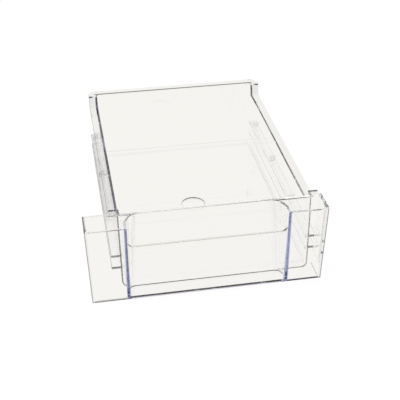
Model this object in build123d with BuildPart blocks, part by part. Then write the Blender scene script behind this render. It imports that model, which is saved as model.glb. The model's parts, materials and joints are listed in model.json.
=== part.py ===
"""Clear ice drawer for a freezer, one moulding in millimetres.

The tub sits off the middle of the fascia. A finger pocket fills the gap
between the fascia and the front wall of the tub, and two runner flanges
stand out from each side wall.
Frame: +Z up, the fascia faces -Y, origin under the middle of the drawer.
"""
import os
from math import atan2, tan

from build123d import *

# Whole drawer
WIDTH = 210.0
HEIGHT = 75.0
LENGTH = 264.0
WALL = 2.2
EDGE_ROUND = 0.3

# Fascia and its two hollow wings
FASCIA_FOOT = 205.2
WING_DEPTH = 24.0

# Tub, measured outside
TUB_SHIFT = 10.3
TUB_WIDTH = 172.0
TUB_DRAFT = 1.1
TUB_CORNER = 5.8
TUB_FRONT = 4.7

# Finger pocket between the fascia and the tub
POCKET_WIDTH = 139.0
POCKET_TOP = 20.5
POCKET_FOOT = 15.4
POCKET_TOP_ROUND = 12.5
POCKET_FOOT_ROUND = 7.0
NOTCH_DROP = 19.7
NOTCH_ROUND = 5.0

# Side rims, which dip between the raised front and back corners, and their lip
RIM_DROP = 11.8
RIM_SHOULDER = 30.0
RIM_FALL = 9.6
RIM_HEEL = 12.0
RIM_RISE = 3.0
LIP = 6.4
LIP_CORNER = 8.0

# Runner flanges and the gussets that stand on the upper one
RAIL_REACH = 7.0
RAIL_MID = 23.4
RAIL_GAP = 10.2
RAIL_CLEAR = 1.5
RAIL_END = 14.0
GUSSET_COUNT = 3
GUSSET_PITCH = 75.0
GUSSET_RISE = 5.0
GUSSET_INSET = 1.0

# Round gate mark in the floor
GATE_DIAMETER = 23.6
GATE_DEPTH = 1.0

# Slack for picking edges by position
TOUCH = 0.01

front = -LENGTH / 2
back = LENGTH / 2 - LIP


def fascia_half(height):
    """Half width of the fascia at a height."""
    return FASCIA_FOOT / 2 + (WIDTH - FASCIA_FOOT) / 2 * height / HEIGHT


def pocket_rear(height):
    """Where the pocket meets the front wall of the tub at a height."""
    return front + POCKET_FOOT + (POCKET_TOP - POCKET_FOOT) * height / HEIGHT


def tub_block(inset, base):
    """Drafted block inset from the outside of the tub, rounded along its uprights and its foot."""
    lean = TUB_DRAFT * (1 - base / HEIGHT)
    half = TUB_WIDTH / 2 - inset
    with BuildPart() as block:
        with BuildSketch(Plane.YZ):
            with BuildLine():
                Polyline(
                    (front, base),
                    (back - lean - inset, base),
                    (back - inset, HEIGHT),
                    (front, HEIGHT),
                    close=True,
                )
            make_face()
        extrude(amount=WIDTH, both=True)
        with BuildSketch(Plane.XZ):
            with BuildLine():
                Polyline(
                    (TUB_SHIFT - half + lean, base),
                    (TUB_SHIFT + half - lean, base),
                    (TUB_SHIFT + half, HEIGHT),
                    (TUB_SHIFT - half, HEIGHT),
                    close=True,
                )
            make_face()
        extrude(amount=LENGTH, both=True, mode=Mode.INTERSECT)
        rounded = block.edges().filter_by(Plane.XY, reverse=True) + block.edges().group_by(Axis.Z)[0]
        fillet(rounded.filter_by_position(Axis.Y, front + TOUCH, back), TUB_CORNER - inset)

        # the front wall leans with the pocket and has tighter rounds
        split(bisect_by=Plane((0, pocket_rear(0) + inset, 0), z_dir=(0, HEIGHT, POCKET_FOOT - POCKET_TOP)))
        front_edges = block.faces().sort_by(Axis.Y)[0].edges()
        fillet(front_edges.sort_by(Axis.Z)[:-1], TUB_FRONT - inset)
    return block.part


def pocket_block(grow, base):
    """Finger pocket from the back of the fascia, grown sideways and to the rear, rear corners rounded."""
    with BuildPart() as block:
        for height, corner in ((base, POCKET_FOOT_ROUND), (HEIGHT, POCKET_TOP_ROUND)):
            with BuildSketch(Plane.XY.offset(height)) as plan:
                with Locations((0, front + WALL)):
                    Rectangle(POCKET_WIDTH + 2 * grow, pocket_rear(height) + grow - front - WALL,
                              align=(Align.CENTER, Align.MIN))
                fillet(plan.vertices().group_by(Axis.Y)[-1], corner + grow)
        loft(ruled=True)
    return block.part


tub = tub_block(0, 0)
tub_inside = tub_block(WALL, WALL)
pocket = pocket_block(WALL, 0)
pocket_inside = pocket_block(0, WALL)

with BuildPart() as ice_drawer:
    add(tub)

    # the side rims dip between the raised corners
    rim = HEIGHT - RIM_DROP
    dip_front = front + RIM_SHOULDER
    dip_back = LENGTH / 2 - RIM_HEEL
    with BuildSketch(Plane.YZ.offset(TUB_SHIFT)):
        with BuildLine():
            Polyline(
                (dip_front, HEIGHT),
                (dip_front + RIM_FALL, rim),
                (dip_back - RIM_RISE, rim),
                (dip_back, HEIGHT),
                close=True,
            )
        make_face()
    extrude(amount=WIDTH, both=True, mode=Mode.SUBTRACT)

    # lip: one bent plate that follows the rims and runs on round the back
    bend_front = WALL * tan(atan2(RIM_DROP, RIM_FALL) / 2)
    bend_back = WALL * tan(atan2(RIM_DROP, RIM_RISE) / 2)
    lip_start = front + POCKET_TOP + WALL / 2
    with BuildSketch(Plane.YZ.offset(TUB_SHIFT)):
        with BuildLine():
            Polyline(
                (lip_start, HEIGHT),
                (dip_front, HEIGHT),
                (dip_front + RIM_FALL, rim),
                (dip_back - RIM_RISE, rim),
                (dip_back, HEIGHT),
                (back + LIP, HEIGHT),
                (back + LIP, HEIGHT - WALL),
                (dip_back + bend_back, HEIGHT - WALL),
                (dip_back - RIM_RISE + bend_back, rim - WALL),
                (dip_front + RIM_FALL - bend_front, rim - WALL),
                (dip_front - bend_front, HEIGHT - WALL),
                (lip_start, HEIGHT - WALL),
                close=True,
            )
        make_face()
    extrude(amount=TUB_WIDTH / 2 + LIP, both=True)
    fillet(ice_drawer.edges().filter_by(Axis.Z).group_by(Axis.Y)[-1], LIP_CORNER)

    # runner flanges across the tub, cut back to its walls when the inside is made
    rail_front = front + WING_DEPTH + RAIL_CLEAR
    rail_length = LENGTH - WING_DEPTH - RAIL_CLEAR - RAIL_END
    rail_width = TUB_WIDTH + 2 * RAIL_REACH
    rail_step = (RAIL_GAP + WALL) / 2
    with Locations(*((TUB_SHIFT, rail_front, RAIL_MID + side * rail_step) for side in (-1, 1))):
        Box(rail_width, rail_length, WALL, align=(Align.CENTER, Align.MIN, Align.CENTER))
    gusset_middle = rail_front + rail_length - RAIL_END - GUSSET_PITCH * (GUSSET_COUNT - 1) / 2
    with Locations((TUB_SHIFT, gusset_middle, RAIL_MID + rail_step)):
        with GridLocations(0, GUSSET_PITCH, 1, GUSSET_COUNT):
            Box(rail_width - 2 * GUSSET_INSET, WALL, WALL / 2 + GUSSET_RISE,
                align=(Align.CENTER, Align.CENTER, Align.MIN))

    # fascia panel
    with BuildSketch(Plane.XZ.offset(-front)) as fascia:
        with BuildLine():
            Polyline(
                (-WIDTH / 2, HEIGHT),
                (WIDTH / 2, HEIGHT),
                (FASCIA_FOOT / 2, 0),
                (-FASCIA_FOOT / 2, 0),
                close=True,
            )
        make_face()
    extrude(amount=-WALL)

    # wings: a roof and two outer flanges behind the fascia, open below and behind
    with BuildSketch(Plane.XZ.offset(-front)):
        add(fascia.sketch_local)
        roof = HEIGHT - WALL
        with BuildLine():
            Polyline(
                (WALL - fascia_half(0), 0),
                (fascia_half(0) - WALL, 0),
                (fascia_half(roof) - WALL, roof),
                (WALL - fascia_half(roof), roof),
                close=True,
            )
        make_face(mode=Mode.SUBTRACT)
    extrude(amount=-WING_DEPTH)
    fillet(ice_drawer.faces().sort_by(Axis.Y)[0].outer_wire().edges(), EDGE_ROUND)

    # shell of the pocket, with one flat floor from the fascia into the tub
    add(pocket)
    with Locations((0, front + WALL)):
        Box(POCKET_WIDTH + 2 * WALL, POCKET_FOOT + TUB_FRONT, WALL,
            align=(Align.CENTER, Align.MIN, Align.MIN))

    # both hollows; behind the pocket the front wall of the tub stands square on the floor
    add(tub_inside, mode=Mode.SUBTRACT)
    square = 2 * TUB_FRONT
    with BuildSketch(Plane.YZ):
        with BuildLine():
            Polyline(
                (pocket_rear(WALL) + WALL, WALL),
                (pocket_rear(square) + WALL, square),
                (pocket_rear(WALL) + square, WALL),
                close=True,
            )
        make_face()
    extrude(amount=POCKET_WIDTH / 2, both=True, mode=Mode.SUBTRACT)
    add(pocket_inside, mode=Mode.SUBTRACT)

    # the fascia is cut down in front of the pocket
    with BuildSketch(Plane.XZ.offset(-front)) as notch:
        with Locations((0, HEIGHT - NOTCH_DROP)):
            Rectangle(POCKET_WIDTH, 2 * NOTCH_DROP, align=(Align.CENTER, Align.MIN))
        fillet(notch.vertices().group_by(Axis.Y)[0], NOTCH_ROUND)
    extrude(amount=-WALL, mode=Mode.SUBTRACT)

    # rounded edge all along the mouth of the pocket
    mouth = ice_drawer.edges().filter_by_position(Axis.X, -POCKET_WIDTH / 2 - TOUCH, POCKET_WIDTH / 2 + TOUCH)
    mouth = mouth.filter_by_position(Axis.Z, HEIGHT - NOTCH_DROP - TOUCH, HEIGHT + TOUCH)
    notch_front = mouth.filter_by_position(Axis.Y, front - TOUCH, front + WALL / 3)
    pocket_top = mouth.filter_by_position(Axis.Z, HEIGHT - TOUCH, HEIGHT + TOUCH)
    pocket_top = pocket_top.filter_by_position(Axis.Y, front + WALL / 3, pocket_rear(HEIGHT) + TOUCH)
    fillet(notch_front + pocket_top, EDGE_ROUND)

    # gate mark: a shallow round recess in the floor
    gate_place = (TUB_SHIFT, (pocket_rear(HEIGHT / 2) + back) / 2, WALL - GATE_DEPTH)
    with Locations(gate_place):
        Cylinder(GATE_DIAMETER / 2, HEIGHT / 2, mode=Mode.SUBTRACT,
                 align=(Align.CENTER, Align.CENTER, Align.MIN))

ice_drawer.part.label = "ice_drawer"
os.makedirs("parts", exist_ok=True)
export_step(ice_drawer.part, "parts/ice_drawer.step")
print("volume mm3", round(ice_drawer.part.volume), "solids", len(ice_drawer.part.solids()))
print("size", ice_drawer.part.bounding_box().size)
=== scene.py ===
# %% [markdown]
# A freezer's ice drawer, moulded in one piece of clear plastic.
# Its shape is finished in the CAD solid, so nothing is modelled again here: what is seen in clear plastic is
# how light runs through the true walls. This lesson loads the solid, mixes the plastic, paints lines and
# marks of shade on it, and builds a white studio around it.

# %% Load the drawer
import json
import math
import bmesh
import bpy
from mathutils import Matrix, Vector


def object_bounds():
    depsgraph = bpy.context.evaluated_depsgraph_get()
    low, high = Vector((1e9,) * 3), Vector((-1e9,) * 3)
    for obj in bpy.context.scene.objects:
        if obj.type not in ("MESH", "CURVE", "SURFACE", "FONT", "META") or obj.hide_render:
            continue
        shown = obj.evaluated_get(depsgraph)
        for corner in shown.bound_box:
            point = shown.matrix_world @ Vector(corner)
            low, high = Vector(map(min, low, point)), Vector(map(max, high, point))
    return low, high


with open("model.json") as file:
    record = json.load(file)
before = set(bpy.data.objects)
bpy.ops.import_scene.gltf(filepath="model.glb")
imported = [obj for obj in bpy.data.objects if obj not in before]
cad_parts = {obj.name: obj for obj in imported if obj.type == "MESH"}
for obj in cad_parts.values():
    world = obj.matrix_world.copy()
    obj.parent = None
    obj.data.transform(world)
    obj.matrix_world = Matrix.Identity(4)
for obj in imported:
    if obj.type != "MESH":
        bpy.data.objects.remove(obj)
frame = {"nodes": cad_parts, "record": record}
cad_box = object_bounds()
low, high = cad_box
drawer = frame["nodes"]["ice_drawer"]
mounts = {mount["name"]: mount["pos_m"] for mount in frame["record"]["mounts"]}
scene = bpy.context.scene
scene.view_settings.view_transform = "Standard"
print("drawer in mm", [round((b - a) * 1000, 1) for a, b in zip(low, high)])

# %% [markdown]
# Clear plastic shows its edges because light is trapped between two parallel
# faces and comes out only after dozens of reflections. Blender gives up on such a
# path early and leaves it black, so the limits are raised. Filter Glossy blurs
# what is seen after a bounce and would darken the table behind the plastic, so it
# is switched off.

# %% Let light run through the walls
TRAPPED_BOUNCES = 64
OTHER_BOUNCES = 16

scene.cycles.max_bounces = TRAPPED_BOUNCES + OTHER_BOUNCES
scene.cycles.glossy_bounces = TRAPPED_BOUNCES
scene.cycles.transmission_bounces = TRAPPED_BOUNCES
scene.cycles.blur_glossy = 0.0
print("light is followed for", TRAPPED_BOUNCES, "reflections in the plastic")

# %% [markdown]
# A node tree reads best when each node is one line. The helper "node" adds a node
# and fills its sockets, by name or by number, with a value or with the output of
# another node. "number" is one step of arithmetic, and "blend" mixes two colours.
# The same could be clicked together in the Shader Editor.


# %% Helpers for node trees
def node(tree, kind, sockets=(), **settings):
    made = tree.nodes.new("ShaderNode" + kind)
    for name, value in settings.items():
        setattr(made, name, value)
    for name, value in dict(sockets).items():
        if isinstance(value, bpy.types.NodeSocket):
            tree.links.new(value, made.inputs[name])
        else:
            made.inputs[name].default_value = value
    return made


def empty_tree(data):
    data.use_nodes = True
    data.node_tree.nodes.clear()
    return data.node_tree


def number(tree, operation, *terms):
    return node(tree, "Math", enumerate(terms), operation=operation).outputs[0]


def blend(tree, share, first, second):
    # a Mix node keeps its colours in sockets 6 and 7
    return node(tree, "Mix", {0: share, 6: first, 7: second}, data_type="RGBA").outputs[2]


print("helpers for node trees ready")

# %% [markdown]
# The plastic is like clear polystyrene: it bends light strongly, has a polished
# skin, and turns faintly blue where light has a long way to go. That blue belongs
# to the volume, because only absorption inside the walls makes a long way darker
# than a short one. A tinted skin would colour every wall alike.

# %% Clear plastic: skin and body
PLASTIC_IOR = 1.58
BODY_BLUE = (0.40, 0.41, 0.49, 1.0)
BODY_DENSITY = 4.5

plastic = bpy.data.materials.new("clear_plastic")
tree = empty_tree(plastic)
skin = node(tree, "BsdfPrincipled", {"IOR": PLASTIC_IOR, "Transmission Weight": 1.0})
body = node(tree, "VolumeAbsorption", {"Color": BODY_BLUE, "Density": BODY_DENSITY})
node(tree, "OutputMaterial", {"Surface": skin.outputs[0], "Volume": body.outputs[0]})
drawer.data.materials.clear()
drawer.data.materials.append(plastic)
print("clear plastic with an index of", PLASTIC_IOR)

# %% [markdown]
# Lines and marks sit at known places: along an edge, on a flange, round the gate.
# They could be painted by hand, but a mask that is worked out from the drawer's
# own coordinates stays sharp at any size. "above" and "below" are 1 on one side of
# a limit, "strip" is 1 between two limits, and "overlap" is 1 only where all its
# masks are. Each limit is a short smooth rise, so that no line has a hard edge.

# %% Helpers for masks
SOFT = 0.00015


def rise(tree, length, start, end):
    limits = {"Value": length, "From Min": min(start, end), "From Max": max(start, end),
              "To Min": float(start > end), "To Max": float(start < end)}
    return node(tree, "MapRange", limits, interpolation_type="SMOOTHSTEP").outputs["Result"]


def above(tree, length, limit, soft=SOFT):
    return rise(tree, length, limit - soft, limit + soft)


def below(tree, length, limit, soft=SOFT):
    return rise(tree, length, limit + soft, limit - soft)


def overlap(tree, first, *others):
    for other in others:
        first = number(tree, "MULTIPLY", first, other)
    return first


def strip(tree, length, first, last):
    return overlap(tree, above(tree, length, first), below(tree, length, last))


print("masks rise over", round(SOFT * 2000, 2), "mm")

# %% [markdown]
# Object coordinates are metres from the middle of the drawer's underside, as in
# the CAD solid, so every place on it can be named by a length. The fascia is a
# little wider at the top than at the foot. The distance from its slanting side is
# half the width at that height, less the distance from the middle.

# %% Find the way on the drawer
FASCIA_FOOT = 0.2052

place = node(tree, "TexCoord").outputs["Object"]
x, y, z = node(tree, "SeparateXYZ", {"Vector": place}).outputs
front, top = low[1], high[2]
across = number(tree, "ABSOLUTE", x)
half_width = number(tree, "MULTIPLY_ADD", z, (high[0] - FASCIA_FOOT / 2) / top, FASCIA_FOOT / 2)
from_side = number(tree, "SUBTRACT", half_width, across)
print("front of the fascia at", round(front, 4), "m, top at", round(top, 4), "m")

# %% [markdown]
# Light falls differently on the left and the right side of the drawer, so a painted mark can have one colour
# on the left and another on the right. Most marks are painted shade, a grey with a trace of blue, as the dark
# edges of clear plastic look. They are collected in a list and laid on the skin together at the end.

# %% Colours for left and right
TRACE_OF_BLUE = 0.01

on_right = above(tree, x, 0.0)
marks = []


def left_right(left, right):
    return blend(tree, on_right, left, right)


# a grey of painted shade, one for the left side and one for the right
def shade_grey(*left_and_right):
    return left_right(*((grey, grey, grey + TRACE_OF_BLUE, 1.0) for grey in left_and_right))


print("grey marks have", TRACE_OF_BLUE, "more blue than red")

# %% [markdown]
# The outer edges of the fascia are thin grey lines, because light that goes in at a sharp edge is lost in the
# wall. This shade is painted here as grey lines on the two slanting sides and on the foot, which is painted
# bluish in the middle, between the two posts that a later step makes. Beside the posts the foot is painted
# grey.

# %% Sides and foot of the fascia
WALL = 0.0022
PAST_FACE = 0.0004
SIDE_DEPTH = 0.0008
SIDE_LINE = 0.00085
SIDE_GREY = (0.20, 0.06)
POST = (0.0692, 0.0721)
FOOT_BLUE = (0.68, 0.63, 0.88, 1.0)
FOOT_GREY = (0.22, 0.01)

# painted shade along the slanting sides and along the foot
side = overlap(tree, below(tree, y, front + SIDE_DEPTH), below(tree, from_side, SIDE_LINE))
in_fascia = below(tree, y, front + WALL + PAST_FACE)
foot = overlap(tree, in_fascia, below(tree, z, WALL / 2))
wing_foot = overlap(tree, foot, above(tree, across, POST[1] - SOFT))
marks += [(side, shade_grey(*SIDE_GREY)), (foot, FOOT_BLUE), (wing_foot, shade_grey(*FOOT_GREY))]
print("fascia", round(FASCIA_FOOT * 1000, 1), "mm wide at its foot")

# %% [markdown]
# Two hollow wings stand behind the fascia, beside the pocket. Their roofs show a grey line of painted shade
# along the outer side, and the left roof also one along its back, as far as the lip of the tub. The left side
# line is painted much darker than the right.

# %% Roofs of the wings
WING_DEPTH = 0.0240
ROOF_SKIN = 0.0010
ROOF_LINE = (0.00115, 0.00065)
ROOF_GREY = (0.08, 0.85)
BACK_LINE = 0.0003
BACK_GREY = (0.55, 0.55, 0.55, 1.0)
LEFT_OF_LIP = -0.0828

wing_back = front + WING_DEPTH
in_wing = below(tree, y, wing_back + PAST_FACE)
roof_line = number(tree, "MULTIPLY_ADD", on_right, ROOF_LINE[1] - ROOF_LINE[0], ROOF_LINE[0])
in_line = below(tree, number(tree, "SUBTRACT", from_side, roof_line), 0.0)
roof_side = overlap(tree, in_wing, in_line, above(tree, z, top - ROOF_SKIN))
roof_back = overlap(tree, strip(tree, y, wing_back - BACK_LINE, wing_back + BACK_LINE),
                    above(tree, z, top - WALL - SOFT), above(tree, from_side, ROOF_LINE[0]),
                    below(tree, x, LEFT_OF_LIP))
marks += [(roof_side, shade_grey(*ROOF_GREY)), (roof_back, BACK_GREY)]
print("wings end at", round(wing_back, 4), "m")

# %% [markdown]
# The fascia is cut down in front of the finger pocket. Light that goes in at this
# notch runs down the whole panel and comes back bluish, while the notch of the
# real drawer is a plain grey line. A slightly warm edge takes the blue away.

# %% Notch in front of the pocket
NOTCH_DROP = 0.0197
NOTCH_LINE = 0.0003
NOTCH_WARM = (1.0, 1.0, 0.88, 1.0)

notch_foot = top - NOTCH_DROP
notch = overlap(tree, in_fascia, strip(tree, z, notch_foot - NOTCH_LINE, notch_foot + NOTCH_LINE),
                below(tree, across, POST[0] - SOFT))
marks.append((notch, NOTCH_WARM))
print("notch at a height of", round(notch_foot, 4), "m")

# %% [markdown]
# Behind the fascia, the two side walls of the finger pocket run straight away
# from the viewer. Light that goes in at their front ends travels the full depth
# of the pocket, so the two ends glow blue as posts, a little wider at the foot.
# Absorption alone gives a paler blue than the real posts have, so the ends get
# the colour as well.

# %% Blue posts beside the pocket
POST_BLUE = (0.29, 0.34, 0.80, 1.0)
POST_SKIN = 0.00035
POST_TAPER = 0.026
POST_MIDDLE = 0.030
RIGHT_POST_SPREAD = 0.0007

widening = number(tree, "MULTIPLY", number(tree, "SUBTRACT", POST_MIDDLE, z), POST_TAPER)
inner = number(tree, "ADD", number(tree, "MULTIPLY_ADD", on_right, RIGHT_POST_SPREAD, across), widening)
post = overlap(tree, below(tree, y, front + POST_SKIN), above(tree, inner, POST[0]),
               below(tree, across, POST[1]))
marks.append((post, POST_BLUE))
print("posts", round((POST[1] - POST[0]) * 1000, 1), "mm wide in the middle on the left")

# %% [markdown]
# The tops of the tub's walls are dark lines for the same reason as the edges of the fascia, and this shade is
# painted on them as well. The side walls are lower than the back wall, between the raised corners, and the
# left one is painted bluish.

# %% Tops of the walls
LIP = 0.0064
TUB_HALF = 0.0860
RIM_DROP = 0.0118
RIM_HEEL = 0.0120
RIM_SKIN = 0.0003
CLEAR_OF_WING = 0.0010
BACK_TOP = (0.05, 0.05, 0.05, 1.0)
LEFT_TOP = (0.44, 0.42, 0.62, 1.0)
RIGHT_TOP = (0.62, 0.62, 0.63, 1.0)

back = high[1] - LIP
side_rim = top - RIM_DROP
from_middle = number(tree, "SUBTRACT", x, mounts["underside"][0])
outward = number(tree, "ABSOLUTE", from_middle)
behind_wing = above(tree, y, wing_back + CLEAR_OF_WING)
back_top = overlap(tree, strip(tree, y, back - WALL, back), above(tree, z, top - RIM_SKIN))
side_top = overlap(tree, behind_wing, below(tree, y, high[1] - RIM_HEEL), above(tree, z, side_rim - RIM_SKIN),
                   strip(tree, outward, TUB_HALF - WALL + RIM_SKIN, TUB_HALF - RIM_SKIN))
marks += [(back_top, BACK_TOP), (side_top, left_right(LEFT_TOP, RIGHT_TOP))]
print("back wall at", round(back, 4), "m, side rims at a height of", round(side_rim, 4), "m")

# %% [markdown]
# The rim is turned out into a lip, whose faces are tinted a little darker. The outer edge of the left lip
# shows as a grey line of painted shade.

# %% Lip
LIP_HANG = 0.0060
LIP_LINE = 0.00045
OFF_WALL = 0.00025
LIP_TINT = (0.955, 0.955, 0.965, 1.0)
LIP_GREY = (0.45, 0.45, 0.46, 1.0)

off_wall = above(tree, outward, TUB_HALF + OFF_WALL)
lip = overlap(tree, behind_wing, above(tree, z, side_rim - LIP_HANG))
left_edge = overlap(tree, lip, below(tree, from_middle, LIP_LINE - TUB_HALF - LIP))
marks += [(overlap(tree, lip, off_wall), LIP_TINT), (left_edge, LIP_GREY)]
print("lip", round(LIP * 1000, 1), "mm wide")

# %% [markdown]
# The molten plastic came in through a round gate in the floor and left a shallow ring. The shade at its step
# is painted on as a grey ring. The ring is a distance from the middle of the gate.

# %% Ring of the gate
GATE_RADIUS = 0.0118
GATE_FLOOR = 0.0012
GATE_Y = 0.00578
GATE_LINE = 0.0004
GATE_GREY = (0.60, 0.60, 0.60, 1.0)

from_gate = number(tree, "SUBTRACT", y, GATE_Y)
squares = [number(tree, "MULTIPLY", way, way) for way in (from_middle, from_gate)]
radius = number(tree, "SQRT", number(tree, "ADD", *squares))
gate = overlap(tree, strip(tree, radius, GATE_RADIUS - GATE_LINE, GATE_RADIUS + GATE_LINE),
               strip(tree, z, GATE_FLOOR - GATE_LINE, WALL + GATE_LINE))
marks.append((gate, GATE_GREY))
print("gate ring", round(GATE_RADIUS * 2000, 1), "mm across")

# %% [markdown]
# Two runner flanges stand out from each side of the tub and slide on ledges in the freezer. The left flanges
# are painted a shade darker, all but their front part, and the outer edges and ends of all of them darker
# still, as painted shade.

# %% Runner flanges
RUNNER_REACH = 0.0070
RUNNER_TOP = 0.0380
RUNNER_ENDS = (-0.1065, 0.1180)
RUNNER_UNSHADED = 0.0930
RUNNER_FADE = 0.0050
EDGE_LINE = 0.00045
END_LINE = 0.00055
RUNNER_GREY = (0.88, 1.0)
EDGE_SHADE_GREY = (0.35, 0.75)
END_GREY = (0.58, 0.58, 0.59, 1.0)

runner = overlap(tree, off_wall, behind_wing, below(tree, z, RUNNER_TOP))
# painted shade on the left flanges, on the outer edges and on the ends
shaded_flanges = overlap(tree, runner, above(tree, y, front + RUNNER_UNSHADED, RUNNER_FADE))
shaded_edge = overlap(tree, runner, above(tree, outward, TUB_HALF + RUNNER_REACH - EDGE_LINE))
ends = number(tree, "MAXIMUM", below(tree, y, RUNNER_ENDS[0] + END_LINE),
              above(tree, y, RUNNER_ENDS[1] - END_LINE))
marks += [(shaded_flanges, shade_grey(*RUNNER_GREY)), (shaded_edge, shade_grey(*EDGE_SHADE_GREY)),
          (overlap(tree, runner, ends), END_GREY)]
print("runner flanges", round((RUNNER_ENDS[1] - RUNNER_ENDS[0]) * 1000, 1), "mm long")

# %% [markdown]
# Three small gussets stand on each upper flange, and their shade is painted grey as well. Ping-pong folds the
# length of the drawer, so that one mask repeats at an even pitch.

# %% Gussets
UPPER_FLANGE = 0.0078
GUSSET_PITCH = 0.0750
GUSSET_MIDDLE = 0.0290
GUSSET_HALF = 0.0013
GUSSET_GREY = (0.72, 0.72, 0.73, 1.0)

on_flange = above(tree, z, mounts["left_runner"][2] + UPPER_FLANGE)
along = number(tree, "PINGPONG", number(tree, "SUBTRACT", y, GUSSET_MIDDLE), GUSSET_PITCH / 2)
# painted shade on the gussets
gusset = overlap(tree, runner, on_flange, below(tree, along, GUSSET_HALF))
marks.append((gusset, GUSSET_GREY))
print("gussets every", round(GUSSET_PITCH * 1000, 1), "mm")

# %% [markdown]
# The marks, which are painted shade and painted glow, are laid over one another on clean white, which for
# clear plastic means no tint at all, and the result goes into the skin's Base Color.

# %% Lay the marks on the skin
WHITE = (1.0, 1.0, 1.0, 1.0)

tint = WHITE
for mask, colour in marks:
    tint = blend(tree, mask, tint, colour)
tree.links.new(tint, skin.inputs["Base Color"])
print(len(marks), "marks laid on the skin")

# %% [markdown]
# The top of the wall behind the pocket and the notch in front of it are gripped
# each time the drawer is pulled, and are worn slightly matt, most of all in the
# narrow corner right of the pocket. There the skin will let less light through,
# which softens the dark line of a sharp edge.

# %% Worn edges of the pocket
WALL_TOP = (0.0203, 0.0230)
WORN_DEPTH = 0.0008
WORN_WALL = 0.28
WORN_CORNER = 0.64
CORNER_FADE = 0.0005
WORN_NOTCH = 0.06

at_top = above(tree, z, top - WORN_DEPTH)
in_tub = below(tree, outward, TUB_HALF - WALL)
corner = above(tree, x, POST[1] - CORNER_FADE, CORNER_FADE)
grip = number(tree, "MULTIPLY_ADD", corner, WORN_CORNER - WORN_WALL, WORN_WALL)
wall_wear = overlap(tree, at_top, in_tub, strip(tree, y, *(front + depth for depth in WALL_TOP)), grip)
notch_wear = overlap(tree, notch, WORN_NOTCH)
print("worn wall top from", round(front + WALL_TOP[0], 4), "to", round(front + WALL_TOP[1], 4), "m")

# %% [markdown]
# The front edges of the wing roofs are worn in the same way, and so is the outer
# side of the right roof. All worn places together lower the skin's transmission.

# %% Worn edges of the wing roofs
ROOF_FRONT = 0.0010
WORN_ROOF = (0.50, 0.40)
WORN_RIGHT_SIDE = 0.13

pull = number(tree, "MULTIPLY_ADD", on_right, WORN_ROOF[1] - WORN_ROOF[0], WORN_ROOF[0])
roof_wear = overlap(tree, at_top, below(tree, y, front + ROOF_FRONT), pull)
side_wear = overlap(tree, at_top, in_wing, on_right, below(tree, from_side, WALL), WORN_RIGHT_SIDE)
wear = wall_wear
for patch in (notch_wear, roof_wear, side_wear):
    wear = number(tree, "MAXIMUM", wear, patch)
tree.links.new(number(tree, "SUBTRACT", 1.0, wear), skin.inputs["Transmission Weight"])
print("worn edges let through", round(1 - WORN_CORNER, 2), "to", round(1 - WORN_NOTCH, 2), "of the light")

# %% [markdown]
# No moulding is optically perfect. A slow ripple from the cooling plastic varies
# the polish and bends the surface very slightly, and the flanges carry fine rub
# marks along the way they slide. The rub marks are noise that is stretched along
# the drawer.

# %% Ripple, polish and rub marks
POLISH = 0.03
RIPPLE_DEPTH = 0.00002
RUB_ROUGHNESS = 0.18
RUB_RANGE = (0.52, 0.62)

ripple = node(tree, "TexNoise", {"Vector": place, "Scale": 45.0, "Detail": 2.0}).outputs[0]
stretched = node(tree, "Mapping", {"Vector": place, "Scale": (1.0, 0.02, 1.0)}).outputs[0]
streaks = node(tree, "TexNoise", {"Vector": stretched, "Scale": 1500.0, "Detail": 3.0}).outputs[0]
rubbed = overlap(tree, runner, rise(tree, streaks, *RUB_RANGE))
roughness = number(tree, "MULTIPLY_ADD", rubbed, RUB_ROUGHNESS, number(tree, "MULTIPLY", ripple, POLISH))
tree.links.new(roughness, skin.inputs["Roughness"])
bent = node(tree, "Bump", {"Height": ripple, "Distance": RIPPLE_DEPTH, "Strength": 0.05}).outputs[0]
tree.links.new(bent, skin.inputs["Normal"])
print("plastic made of", len(tree.nodes), "nodes")

# %% [markdown]
# The table is one plain sheet, a hair below the drawer so that the two faces do
# not flicker. A large grid is enough, because its edges lie outside every view.

# %% White table
TABLE_HALF = 6.0
GAP = 0.0003

sheet = bmesh.new()
bmesh.ops.create_grid(sheet, x_segments=1, y_segments=1, size=TABLE_HALF)
bmesh.ops.translate(sheet, verts=sheet.verts, vec=(0.0, 0.0, low[2] - GAP))
table_mesh = bpy.data.meshes.new("table")
sheet.to_mesh(table_mesh)
sheet.free()
table = bpy.data.objects.new("table", table_mesh)
scene.collection.objects.link(table)
print("table at", round(low[2] - GAP, 4), "m")

# %% [markdown]
# To the camera the table is white and keeps a soft shadow. Rays that have passed
# through the plastic see it as an even warm white, as a large lit table looks.
# Light Path tells the two kinds of ray apart, and matt paint is left for the rest.

# %% Paint of the table
WARM_WHITE = (0.926, 0.910, 0.876, 1.0)
MATT_WHITE = (0.92, 0.92, 0.92, 1.0)
SHADOW_SHARE = 0.06

paint = bpy.data.materials.new("white_table")
tree = empty_tree(paint)
ray = node(tree, "LightPath").outputs
matt = node(tree, "BsdfDiffuse", {"Color": MATT_WHITE}).outputs[0]
white = node(tree, "Emission", {"Color": WHITE}).outputs[0]
warm = node(tree, "Emission", {"Color": WARM_WHITE}).outputs[0]
through = number(tree, "MAXIMUM", ray["Is Glossy Ray"], ray["Is Transmission Ray"])
in_plastic = node(tree, "MixShader", {0: through, 1: matt, 2: warm}).outputs[0]
in_camera = node(tree, "MixShader", {0: SHADOW_SHARE, 1: white, 2: matt}).outputs[0]
both = node(tree, "MixShader", {0: ray["Is Camera Ray"], 1: in_plastic, 2: in_camera}).outputs[0]
node(tree, "OutputMaterial", {"Surface": both})
table_mesh.materials.append(paint)
print("table shows", SHADOW_SHARE, "of the shadow")

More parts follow.
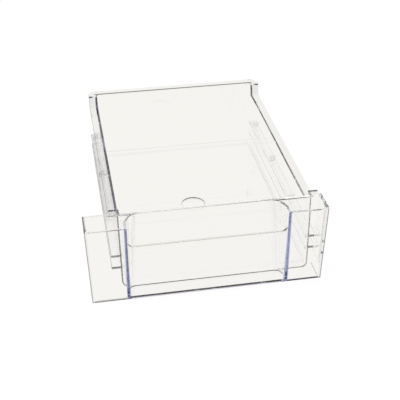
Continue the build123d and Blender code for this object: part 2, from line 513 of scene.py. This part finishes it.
# %% [markdown]
# Glass and clear plastic are lit by what they reflect, so a photographer puts
# them in a tent of pale cloth and leaves dark gaps that draw the edges. This tent
# is a pale band all round the horizon and a pale cover over the front half, and
# the gaps stay dark. A world texture does it without walls that the camera could
# see.

# %% Light tent
TENT_DARK = (0.10, 0.10, 0.11, 1.0)
BAND = (20.0, 48.0)
BAND_SOFT = 6.0
COVER_SOFT = 0.05


def heights(angle):
    return [math.sin(math.radians(angle + way * BAND_SOFT)) for way in (-1, 1)]


tent = bpy.data.worlds.new("light_tent")
scene.world = tent
tree = empty_tree(tent)
ray = node(tree, "LightPath").outputs
sky = node(tree, "SeparateXYZ", {"Vector": node(tree, "TexCoord").outputs["Generated"]}).outputs
band = blend(tree, rise(tree, sky["Z"], *heights(BAND[0])), TENT_DARK, WARM_WHITE)
cover = blend(tree, below(tree, sky["Y"], 0.0, COVER_SOFT), TENT_DARK, WARM_WHITE)
cloth = blend(tree, rise(tree, sky["Z"], *heights(BAND[1])), band, cover)
tent_light = node(tree, "Background", {"Color": cloth}).outputs[0]
white = node(tree, "Background", {"Color": WHITE}).outputs[0]
seen = node(tree, "MixShader", {0: ray["Is Camera Ray"], 1: tent_light, 2: white}).outputs[0]
node(tree, "OutputWorld", {"Surface": seen})
print("tent band from", BAND[0], "to", BAND[1], "degrees")

# %% [markdown]
# One large softbox above gives the table its plain light and the drawer its soft
# shadow. It is hidden from reflections, because its outline in the plastic would
# be a second, harder light.

# %% Softbox
softbox = bpy.data.lights.new("softbox", "AREA")
softbox.size = 1.6
softbox.energy = 24.0
lamp = bpy.data.objects.new("softbox", softbox)
lamp.location = (-0.3, 0.2, 1.6)
lamp.rotation_euler = (0.0, math.radians(-10.0), 0.0)
lamp.visible_glossy = False
lamp.visible_transmission = False
scene.collection.objects.link(lamp)
print("softbox", round(softbox.size, 2), "m wide, energy", softbox.energy)

# %% [markdown]
# The camera stands in front of the drawer, a little to the left, and looks down
# into the tub. Its place and its long lens were fitted to the straight edges of
# the fascia and the rim.

# %% Camera
lens = bpy.data.cameras.new("camera")
lens.sensor_width = 36.0
lens.lens = 78.73
camera = bpy.data.objects.new("camera", lens)
camera.location = (-0.11689, -0.72829, 0.48705)
camera.rotation_euler = [math.radians(turn) for turn in (57.17, -0.045, -10.328)]
scene.collection.objects.link(camera)
scene.camera = camera
print("camera with a", round(lens.lens, 2), "mm lens")
